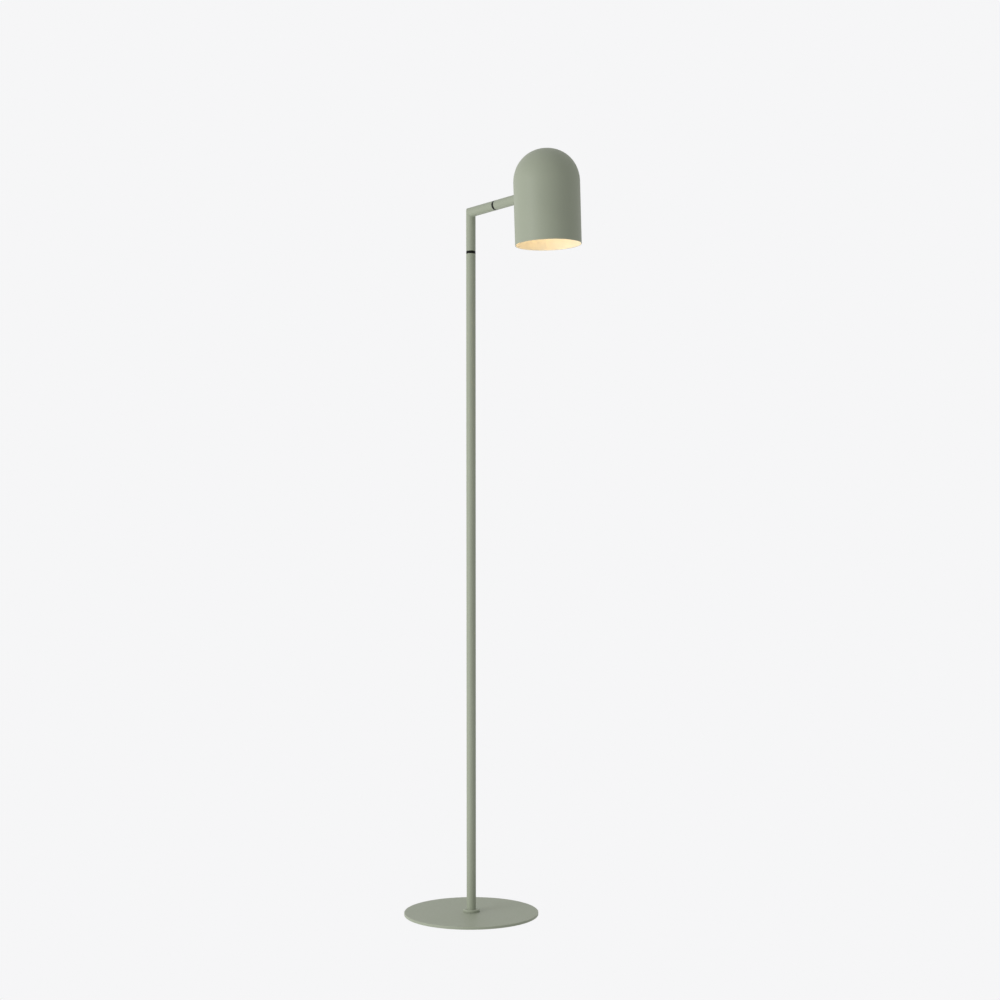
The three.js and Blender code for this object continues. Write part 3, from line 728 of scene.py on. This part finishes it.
def swivel_ring(name):
    """A crowned ring about Z, centred on the origin."""
    return lathe(name, [
        (ring_bore, -ring_half, RING_EASE),
        (ring_radius - RING_CROWN, -ring_half, RING_EASE),
        (ring_radius, 0),
        (ring_radius - RING_CROWN, ring_half, RING_EASE),
        (ring_bore, ring_half, RING_EASE),
    ], TUBE_SEGMENTS)


lower_ring_place = Matrix.Translation((0, 0, lower_ring_low + ring_half))
upper_ring_place = Matrix.Translation((upper_ring_near + ring_half, 0, arm_height)) @ lying
set_piece(swivel_ring("lower_ring"), lower_ring_place, nylon, "stand", "black_nylon",
          "pole_swivel_ring")
set_piece(swivel_ring("upper_ring"), upper_ring_place, nylon, "elbow", "black_nylon",
          "arm_swivel_ring")

# %% [markdown]
# ## The mitred elbow
#
# The elbow is two tube ends sawn at 45 degrees, welded, and dressed smooth before painting. Each
# line along the tube runs up, turns a right angle on the mitre and runs out along the arm. So
# a row of points on the slanted mitre does it, split into a few rows that round the seam by
# the radius of the dressed weld.

# %% Elbow
WELD_ROUNDING = 1.3 * MM
WELD_STEPS = 5
elbow_low = lower_ring_high + RING_GAP - arm_height
elbow_end = upper_ring_near - RING_GAP


def elbow_row(radius, leg, arm_side):
    """A row round one end of the elbow, leg metres from the corner."""
    row = []
    for point in circle(radius, 0, TUBE_SEGMENTS):
        if arm_side:
            row.append(Vector((leg, point.y, -point.x)))
        else:
            row.append(Vector((point.x, point.y, -leg)))
    return row


def mitre_row(radius, step):
    """A row near the mitre; the steps go round the dressed weld."""
    angle = math.pi / 2 * step / WELD_STEPS
    row = []
    for point in circle(radius, 0, TUBE_SEGMENTS):
        inner = point.x + WELD_ROUNDING
        row.append(Vector((inner - WELD_ROUNDING * math.cos(angle), point.y,
                           -inner + WELD_ROUNDING * math.sin(angle))))
    return row


def tube_end(leg, arm_side):
    """Rows over a tube's eased end, from outside to inside."""
    outline = soften([(tube_radius, 0), (tube_radius, leg, TUBE_EASE), (tube_bore, leg, 0.2 * MM),
                      (tube_bore, 0)])[1:-1]
    return [elbow_row(point.x, point.y, arm_side) for point in outline]


outside_rows = [mitre_row(tube_radius, step) for step in range(WELD_STEPS + 1)]
inside_rows = [mitre_row(tube_bore, step) for step in range(WELD_STEPS + 1)]
elbow = skin("elbow_pipe", outside_rows + tube_end(elbow_end, True) + inside_rows[::-1]
             + tube_end(-elbow_low, False)[::-1])
set_piece(elbow, Matrix.Translation((0, 0, arm_height)), sage, "elbow", "sage_paint",
          "elbow_tube")

# %% [markdown]
# ## The arm
#
# The arm is a straight tube whose far end is coped, cut to the curve of the shade's wall, so that
# it sits on the shade with no gap. Each point of the end row is moved along the arm until it
# touches the shade's cylinder.

# %% Arm
COPE_GAP = 0.12 * MM
COPE_EASE = [(0, 0.35 * MM), (0.12 * MM, 0.08 * MM), (0.4 * MM, 0)]
arm_start = upper_ring_far + RING_GAP


def coped_row(radius, ease):
    """The row where the arm meets the shade's outer wall; ease pulls it back a little."""
    wall = shade_radius + COPE_GAP + ease
    row = []
    for point in circle(radius, 0, TUBE_SEGMENTS):
        reach = shade_axis - math.sqrt(wall ** 2 - point.y ** 2)
        row.append(Vector((reach, point.y, -point.x)))
    return row


start_rows = [[Vector((arm_start + (elbow_end - point.x), point.y, point.z)) for point in row]
              for row in tube_end(elbow_end, True)]
end_rows = [coped_row(tube_radius - inset, ease) for inset, ease in COPE_EASE]
arm = skin("arm_pipe", start_rows[::-1] + end_rows + [coped_row(tube_bore, 0)])
set_piece(arm, arm_place, sage, "head", "sage_paint", "arm_tube")

# %% [markdown]
# ## The spun shade
#
# The shade is spun from one sheet of aluminium: a straight wall that runs without a break into
# a half-round dome, a little fuller than round at its shoulder. The rim is trimmed and its edges
# eased. The white lining comes down to the rim, so only the rim's thickness shows the outer
# colour. The lining is a skin of its own here, because the two sides have different finishes.

# %% Shade
SHADE_SEGMENTS = 160
DOME_STEPS = 40
DOME_FULLNESS = 2.08
LINING_THICKNESS = 0.14 * MM
LINING_STOPS = 0.15 * MM
LINING_LIFT = 0.01 * MM
NIPPLE_HOLE, DRILL_REACH = 5.1 * MM, 5 * MM


def fuller(share):
    """A sine or cosine, bent to make a round profile a little squarer."""
    return share ** (2 / DOME_FULLNESS) if share > TINY else 0.0


def dome(radius, start, end):
    """Points over the dome between two angles in degrees: 0 is the wall and 90 the crown."""
    points = []
    for step in range(DOME_STEPS + 1):
        angle = math.radians(start + (end - start) * step / DOME_STEPS)
        points.append((radius * fuller(math.cos(angle)),
                       dome_centre + radius * fuller(math.sin(angle))))
    return points


def drill_for_nipple(piece):
    """Bores the nipple's hole through the wall on the arm's side."""
    drill(piece, NIPPLE_HOLE, -DRILL_REACH, DRILL_REACH,
          Matrix.Translation((-shade_radius, 0, 0)) @ lying, SMALL_SEGMENTS)


shell_bore = shade_radius - SHADE_WALL
metal_bore = shell_bore + LINING_THICKNESS + LINING_LIFT
wall_heights = [shade_rim + (dome_centre - shade_rim) * share for share in (0.25, 0.5, 0.75)]
shade = lathe("spun_shade", [
    *dome(metal_bore, 90, 0),
    *((metal_bore, height) for height in wall_heights[::-1]),
    (metal_bore, shade_rim, 0.3 * MM),
    (shade_radius, shade_rim, 0.4 * MM),
    *((shade_radius, height) for height in wall_heights),
    *dome(shade_radius, 0, 90),
], SHADE_SEGMENTS)
drill_for_nipple(shade)
set_piece(shade, head_place, sage, "head", "sage_paint", "shade")

# %% Lining
lining_low = shade_rim + LINING_STOPS
white = lathe("shade_lining", [
    *dome(shell_bore, 90, 0), (shell_bore, lining_low), (shell_bore + LINING_THICKNESS, lining_low),
    *dome(shell_bore + LINING_THICKNESS, 0, 90),
], SHADE_SEGMENTS)
drill_for_nipple(white)
set_piece(white, head_place, lining, "head", "inner_paint")

# %% [markdown]
# ## Threads, nuts and washers
#
# Lamp fitters join everything with hollow threaded tube, called nipples. A thread is a wave that
# climbs as it goes round, so each row gets a radius that depends on both its height and its
# angle. A nut is a hexagon whose corners are turned off by a shallow cone, which leaves the
# curved arcs that every nut has.


# %% Threads
NIPPLE_RADIUS, NIPPLE_BORE = 4.8 * MM, 3 * MM
THREAD_PITCH, THREAD_DEPTH = 1.0 * MM, 0.4 * MM
THREAD_SEGMENTS, ROWS_PER_TURN = 40, 6
LEAD_IN = 0.3 * MM


def thread_depth(height, angle):
    """How far the surface lies below the crest of a right-handed thread."""
    turn = (height / THREAD_PITCH - angle / (2 * math.pi)) % 1.0
    return THREAD_DEPTH * min(1.0, 2.4 * min(turn, 1.0 - turn))


def nipple(name, low, high):
    """A threaded tube along Z, with its thread running out at both ends."""
    step_count = int((high - low) / THREAD_PITCH * ROWS_PER_TURN)
    rows = []
    for step in range(step_count + 1):
        height = low + (high - low) * step / step_count
        fade = min(max(min(height - low, high - height) / THREAD_PITCH, 0.0), 1.0)

        def ripple(angle, height=height, fade=fade):
            return -thread_depth(height, angle) * fade - THREAD_DEPTH * (1 - fade) * 0.9

        rows.append(circle(NIPPLE_RADIUS, height, THREAD_SEGMENTS, ripple))
    for radius, height in ((NIPPLE_BORE + LEAD_IN, high), (NIPPLE_BORE, high - LEAD_IN),
                           (NIPPLE_BORE, low + LEAD_IN), (NIPPLE_BORE + LEAD_IN, low)):
        rows.append(circle(radius, height, THREAD_SEGMENTS))
    return skin(name, rows)


# %% Nuts
NUT_FLAT = 7 * MM
NUT_HEIGHT = 4 * MM
NUT_CHAMFER = math.radians(30)
NUT_SEGMENTS = 72


def hex_nut(name, low):
    """A chamfered hexagon nut for a nipple, on the Z axis."""
    high = low + NUT_HEIGHT
    chamfer_circle = NUT_FLAT * 0.97
    lower, upper = [], []
    for place in range(NUT_SEGMENTS):
        angle = 2 * math.pi * place / NUT_SEGMENTS
        reach = NUT_FLAT / math.cos((angle + math.pi / 6) % (math.pi / 3) - math.pi / 6)
        fall = (reach - chamfer_circle) * math.tan(NUT_CHAMFER)
        aim = Vector((math.cos(angle), math.sin(angle), 0)) * reach
        lower.append(aim + Vector((0, 0, low + fall)))
        upper.append(aim + Vector((0, 0, high - fall)))
    below = [(NIPPLE_HOLE, low + LEAD_IN), (NIPPLE_HOLE + LEAD_IN, low), (chamfer_circle, low)]
    above = [(chamfer_circle, high), (NIPPLE_HOLE + LEAD_IN, high), (NIPPLE_HOLE, high - LEAD_IN)]
    return skin(name, [*(circle(*ring, NUT_SEGMENTS) for ring in below), lower, upper,
                       *(circle(*ring, NUT_SEGMENTS) for ring in above)])


print("thread and nut makers ready")

# %% [markdown]
# ## Fixings inside the shade
#
# From the arm side inwards: the nipple comes through the wall, a saddle washer fills the curve,
# the holder's bracket stands on it, and a nut pulls it all tight. The bracket is a strip of
# steel bent twice, so its outline is drawn from the side, with its bends rounded, and pushed
# out to its width.

# %% Nipple, saddle washer and nut
nipple_start = -shade_radius - 12 * MM
nipple_end = -shade_radius + 12.5 * MM
on_side = head_place @ lying

set_piece(nipple("side_nipple", nipple_start, nipple_end), on_side, zinc_steel, "head",
          "bright_steel", "shade_nipple")

WASHER_RADIUS, WASHER_EASE, WASHER_DEPTH = 8 * MM, 0.3 * MM, 3.2 * MM
washer_flat = -shell_bore + WASHER_DEPTH


def saddle_row(radius, curved, pull=0.0):
    """A row of the washer, on the flat face or laid on the shade's curved wall."""
    row = []
    for point in circle(radius, 0, SMALL_SEGMENTS):
        wall = -math.sqrt((shell_bore - GAP) ** 2 - point.y ** 2)
        row.append(Vector(((wall if curved else washer_flat) + pull, point.y, point.x)))
    return row


saddle = skin("saddle_washer", [
    saddle_row(NIPPLE_HOLE, True), saddle_row(WASHER_RADIUS - WASHER_EASE, True),
    saddle_row(WASHER_RADIUS, True, WASHER_EASE), saddle_row(WASHER_RADIUS, False, -WASHER_EASE),
    saddle_row(WASHER_RADIUS - WASHER_EASE, False), saddle_row(NIPPLE_HOLE, False),
])
set_piece(saddle, head_place, zinc_steel, "head", "bright_steel", "shade_saddle_washer")

STRIP_THICKNESS = 2 * MM
strip_outer = washer_flat + GAP
strip_inner = strip_outer + STRIP_THICKNESS
set_piece(hex_nut("side_nut", strip_inner + GAP), on_side, zinc_steel, "head", "bright_steel",
          "shade_nut")

# %% Bracket
strip_foot, strip_knee, shelf, shelf_start, shelf_end = (
    value * MM for value in (-9, 22, 50, -30, 11))
STRIP_HALF_WIDTH, STRIP_EASE = 8 * MM, 0.3 * MM
DRILL_PAST = 2 * MM


def bracket():
    """The bent strip, pushed out from its side view and closed at both sides."""
    outline = soften([
        (strip_outer, strip_foot, STRIP_EASE),
        (strip_inner, strip_foot, STRIP_EASE),
        (strip_inner, strip_knee - 0.8 * MM, 4 * MM),
        (shelf_start + 0.8 * MM, shelf, 2 * MM),
        (shelf_end, shelf, STRIP_EASE),
        (shelf_end, shelf + STRIP_THICKNESS, STRIP_EASE),
        (shelf_start, shelf + STRIP_THICKNESS, 4 * MM),
        (strip_outer, strip_knee, 2 * MM),
    ], steps=6)
    inside = STRIP_HALF_WIDTH - STRIP_EASE
    rows = [[Vector((point.x, across, point.y)) for point in outline]
            for across in (-STRIP_HALF_WIDTH, -inside, inside, STRIP_HALF_WIDTH)]
    strip = skin("holder_bracket_strip", rows, wrap=False)
    work = bmesh.new()
    work.from_mesh(strip.data)
    rims = [edge for edge in work.edges if len(edge.link_faces) == 1]
    bmesh.ops.holes_fill(work, edges=rims)
    bmesh.ops.recalc_face_normals(work, faces=work.faces)
    work.to_mesh(strip.data)
    work.free()
    return strip


strip = bracket()
drill(strip, NIPPLE_HOLE, strip_outer - DRILL_PAST, strip_inner + DRILL_PAST, lying)
drill(strip, NIPPLE_HOLE, shelf - DRILL_PAST, shelf + STRIP_THICKNESS + DRILL_PAST, upright)
set_piece(strip, head_place, zinc_steel, "head", "bright_steel", "holder_bracket")

# %% Top nipple and nut
TOP_NIPPLE_LOW = 44.7 * MM
shelf_top = shelf + STRIP_THICKNESS + GAP
top_nipple_high = shelf_top + NUT_HEIGHT + 1 * MM
set_piece(hex_nut("top_nut", shelf_top), head_place, zinc_steel, "head", "bright_steel",
          "holder_nut")
set_piece(nipple("top_nipple", TOP_NIPPLE_LOW, top_nipple_high), head_place, zinc_steel, "head",
          "bright_steel", "holder_nipple")

# %% [markdown]
# ## The lamp holder
#
# The holder is moulded in two halves that screw together. The cap has flutes for the fingers,
# and the shell below it is smooth with a rolled lip. Between them sits a ceramic block that
# carries the contacts. Flutes are a wave in the radius, only where the cap is straight.

# %% Holder cap
HOLDER_RADIUS, HOLDER_SPLIT, HOLDER_MOUTH = 19 * MM, 30 * MM, 4 * MM
CAP_WALL, CAP_LID = 2 * MM, 3 * MM
FLUTES, FLUTE_DEPTH = 30, 0.45 * MM
HOLDER_SEGMENTS = 120
FLUTE_SHARES = {0.04: 0, 0.14: 1, 0.5: 1, 0.86: 1, 0.96: 0}
STRAIGHT_STRETCH = 5 * MM
cap_radius = HOLDER_RADIUS - 0.5 * MM
cap_top = shelf - GAP


def fluted_cap():
    """A turned cap whose one long straight stretch is given flutes."""
    outline = soften([
        (cap_radius - CAP_WALL, HOLDER_SPLIT, 0.2 * MM),
        (cap_radius, HOLDER_SPLIT, 0.4 * MM),
        (cap_radius, cap_top - 6 * MM, 3 * MM),
        (cap_radius - 6 * MM, cap_top, 2.5 * MM),
        (NIPPLE_HOLE, cap_top),
        (NIPPLE_HOLE, cap_top - CAP_LID),
        (cap_radius - 7.5 * MM, cap_top - CAP_LID, 0.5 * MM),
        (cap_radius - CAP_WALL, cap_top - 8 * MM, 1 * MM),
    ], steps=6)
    rows = [circle(*outline[0], FLUTES * 6)]
    for below, point in zip(outline, outline[1:]):
        if point.y - below.y > STRAIGHT_STRETCH:
            for share, fluted in FLUTE_SHARES.items():

                def flute(angle, depth=FLUTE_DEPTH * fluted):
                    return -depth * (0.5 - 0.5 * math.cos(FLUTES * angle))

                height = below.y + (point.y - below.y) * share
                rows.append(circle(cap_radius, height, FLUTES * 6, flute))
        rows.append(circle(*point, FLUTES * 6))
    return skin("holder_top", rows)


set_piece(fluted_cap(), head_place, nylon, "head", "black_nylon", "holder_cap")

# %% Holder shell and contact block
SOCKET_BORE = 14.2 * MM
BAND_HEIGHT, WAIST_DEPTH, WAIST_SLOPE = 3 * MM, 0.6 * MM, 0.6 * MM
shell_top = HOLDER_SPLIT - GAP
waist = HOLDER_RADIUS - WAIST_DEPTH
waist_low = HOLDER_MOUTH + BAND_HEIGHT + WAIST_SLOPE
waist_high = HOLDER_SPLIT - 4 * MM

shell = lathe("holder_skirt", [
    (SOCKET_BORE, HOLDER_MOUTH, 0.4 * MM),
    (HOLDER_RADIUS, HOLDER_MOUTH, 1.0 * MM),
    (HOLDER_RADIUS, waist_low - WAIST_SLOPE, 0.3 * MM),
    (waist, waist_low, 0.3 * MM),
    (waist, waist_high, 0.3 * MM),
    (HOLDER_RADIUS, waist_high + WAIST_SLOPE, 0.3 * MM),
    (HOLDER_RADIUS, shell_top, 0.5 * MM),
    (SOCKET_BORE, shell_top, 0.3 * MM),
], HOLDER_SEGMENTS)
set_piece(shell, head_place, nylon, "head", "black_nylon", "holder_shell")

BLOCK_RADIUS, BLOCK_HEIGHT, BLOCK_EASE = 13 * MM, 8 * MM, 0.6 * MM
block_low = HOLDER_SPLIT + 2 * GAP
block_high = block_low + BLOCK_HEIGHT
block = lathe("contact_block", [
    (0, block_low), (BLOCK_RADIUS, block_low, BLOCK_EASE),
    (BLOCK_RADIUS, block_high, BLOCK_EASE), (0, block_high),
])
set_piece(block, head_place, ceramic, "head", "ceramic", "holder_contact_block")

# %% [markdown]
# ## The bulb
#
# A small globe bulb: a rolled screw cap, a white collar that hides its driver and a frosted
# globe that glows. The screw is coarse and round, so its wave is a cosine. The globe is
# the light source of the whole head. Because it is a real glowing surface and not a point light,
# the inside of the shade gets its soft, even warmth.

# %% Bulb screw cap
SCREW_RADIUS, SCREW_PITCH, SCREW_DEPTH = 13.2 * MM, 3.62 * MM, 0.9 * MM
SCREW_SEGMENTS, SCREW_ROWS = 64, 60
CONTACT_RADIUS, CONTACT_HEIGHT = 4.8 * MM, 2 * MM
screw_low = HOLDER_MOUTH + 1 * MM
screw_top = HOLDER_SPLIT - 3 * MM
threads_top = screw_top - 4 * MM


def screw_cap():
    """A rolled screw that closes in a cone and ends in the bulb's contact."""
    rows = [circle(0, screw_low, SCREW_SEGMENTS)]
    for step in range(SCREW_ROWS + 1):
        height = screw_low + (threads_top - screw_low) * step / SCREW_ROWS
        fade = min(1.0, 2.5 * min(step, SCREW_ROWS - step) / SCREW_ROWS)

        def roll(angle, height=height, fade=fade):
            turn = 2 * math.pi * height / SCREW_PITCH - angle
            return -SCREW_DEPTH * fade * (0.5 - 0.5 * math.cos(turn))

        rows.append(circle(SCREW_RADIUS, height, SCREW_SEGMENTS, roll))
    contact_top = screw_top + CONTACT_HEIGHT
    cone = soften([(SCREW_RADIUS, threads_top), (7 * MM, screw_top - 1 * MM, 1 * MM),
                   (CONTACT_RADIUS, contact_top, 0.8 * MM), (0, contact_top)])
    rows += [circle(*point, SCREW_SEGMENTS) for point in cone[1:]]
    return skin("bulb_screw", rows, wrap=False)


set_piece(screw_cap(), head_place, zinc_steel, "head", "bright_steel", "bulb_screw_cap")

# %% Bulb collar
BULB_RADIUS, BULB_TIP = 22.5 * MM, -46 * MM
BULB_SEGMENTS = 96
globe_centre = BULB_TIP + BULB_RADIUS
collar_start = globe_centre + 6 * MM
collar_end = screw_low - GAP
bulb_collar = lathe("bulb_neck", [
    (0, collar_start),
    (BULB_RADIUS - 0.6 * MM, collar_start, 0.3 * MM),
    (BULB_RADIUS - 1.4 * MM, collar_start + 5 * MM, 3 * MM),
    (SCREW_RADIUS + 0.4 * MM, collar_end - 4 * MM, 3 * MM),
    (SCREW_RADIUS, collar_end, 0.3 * MM),
    (0, collar_end),
], BULB_SEGMENTS)
set_piece(bulb_collar, head_place, white_plastic, "head", "white_plastic", "bulb_collar")

# %% Bulb globe
GLOBE_STEPS = 32
globe_top = collar_start - GAP
shoulder = math.asin((globe_top - 0.4 * MM - globe_centre) / BULB_RADIUS)
globe_line = [(0.0, BULB_TIP)]
for step in range(1, GLOBE_STEPS + 1):
    angle = -math.pi / 2 + (shoulder + math.pi / 2) * step / GLOBE_STEPS
    globe_line.append((BULB_RADIUS * math.cos(angle), globe_centre + BULB_RADIUS * math.sin(angle)))
globe_line += [(BULB_RADIUS - 0.8 * MM, globe_top), (0, globe_top)]
globe = lathe("bulb_globe", globe_line, BULB_SEGMENTS)
set_piece(globe, head_place, opal, "head", "opal_diffuser", "bulb_diffuser")

# %% [markdown]
# ## The lead in the head
#
# The lead comes out of the side nipple, climbs beside the bracket, bends over its shelf and
# dives into the holder. Inside the arm it is straight. A curve object with a round bevel would do
# it too. Rows of points along a smooth line do it with the same kit as everything else.

# %% Head lead
LEAD_RADIUS, LEAD_SEGMENTS, GLIDE_STEPS = 2.4 * MM, 20, 8
lead_start = upper_ring_near + ring_half - shade_axis
lead_stops = [
    (lead_start + GAP / 2, 0, 0),
    (lead_start + 40 * MM, 0, 0),
    (-shade_radius, 0, 0),
    (nipple_end, 0, 0),
    (-38 * MM, 2 * MM, 2 * MM),
    (-33 * MM, 9 * MM, 12 * MM),
    (-34 * MM, 13 * MM, 28 * MM),
    (-30 * MM, 13.5 * MM, 45 * MM),
    (-21 * MM, 10 * MM, 59 * MM),
    (-9 * MM, 3 * MM, 67 * MM),
    (-1.2 * MM, 0, 65 * MM),
    (0, 0, 58 * MM),
    (0, 0, 50 * MM),
    (0, 0, 42 * MM),
]


def glide(stops):
    """Points on a smooth curve that passes through every stop."""
    stops = [Vector(stop) for stop in stops]
    line = [stops[0]]
    padded = [2 * stops[0] - stops[1], *stops, 2 * stops[-1] - stops[-2]]
    for before, start, end, after in zip(padded, padded[1:], padded[2:], padded[3:]):
        for step in range(1, GLIDE_STEPS + 1):
            t = step / GLIDE_STEPS
            line.append(0.5 * (2 * start + (end - before) * t
                               + (2 * before - 5 * start + 4 * end - after) * t ** 2
                               + (3 * start - before - 3 * end + after) * t ** 3))
    return line


def lead_along(name, line):
    """A round lead along a line of points, turned as little as possible on the way."""
    rows, side = [], None
    for index, point in enumerate(line):
        ahead = (line[min(index + 1, len(line) - 1)] - line[max(index - 1, 0)]).normalized()
        if side is None:
            side = ahead.orthogonal().normalized()
        side = (side - ahead * side.dot(ahead)).normalized()
        across = ahead.cross(side)
        rows.append([point + side * spoke.x + across * spoke.y
                     for spoke in circle(LEAD_RADIUS, 0, LEAD_SEGMENTS)])
    first, last = [line[0]] * LEAD_SEGMENTS, [line[-1]] * LEAD_SEGMENTS
    return skin(name, [first, *rows, last], wrap=False)


lead = lead_along("head_lead", glide(lead_stops))
set_piece(lead, head_place, sheath, "head", "flex_sheath", "head_flex")

# %% [markdown]
# ## What stays from the CAD model
#
# Plugs, cups, pins and washers are inside the tubes, where only a repairer sees them. Their plain
# solids are right as they are, so they only get their real finishes.

# %% Finishes for the pieces inside
finish_of_slot = {"bright_steel": zinc_steel, "black_nylon": nylon, "flex_sheath": sheath,
                  "ceramic": ceramic, "sage_paint": sage}
kept = 0
for subpart in frame["record"]["subparts"]:
    node = frame["nodes"][subpart["node"]]
    if not node.hide_render:
        node.data.materials.clear()
        node.data.materials.append(finish_of_slot[subpart["material_slot"]])
        kept += 1
print(kept, "CAD pieces keep their shape and get a finish")
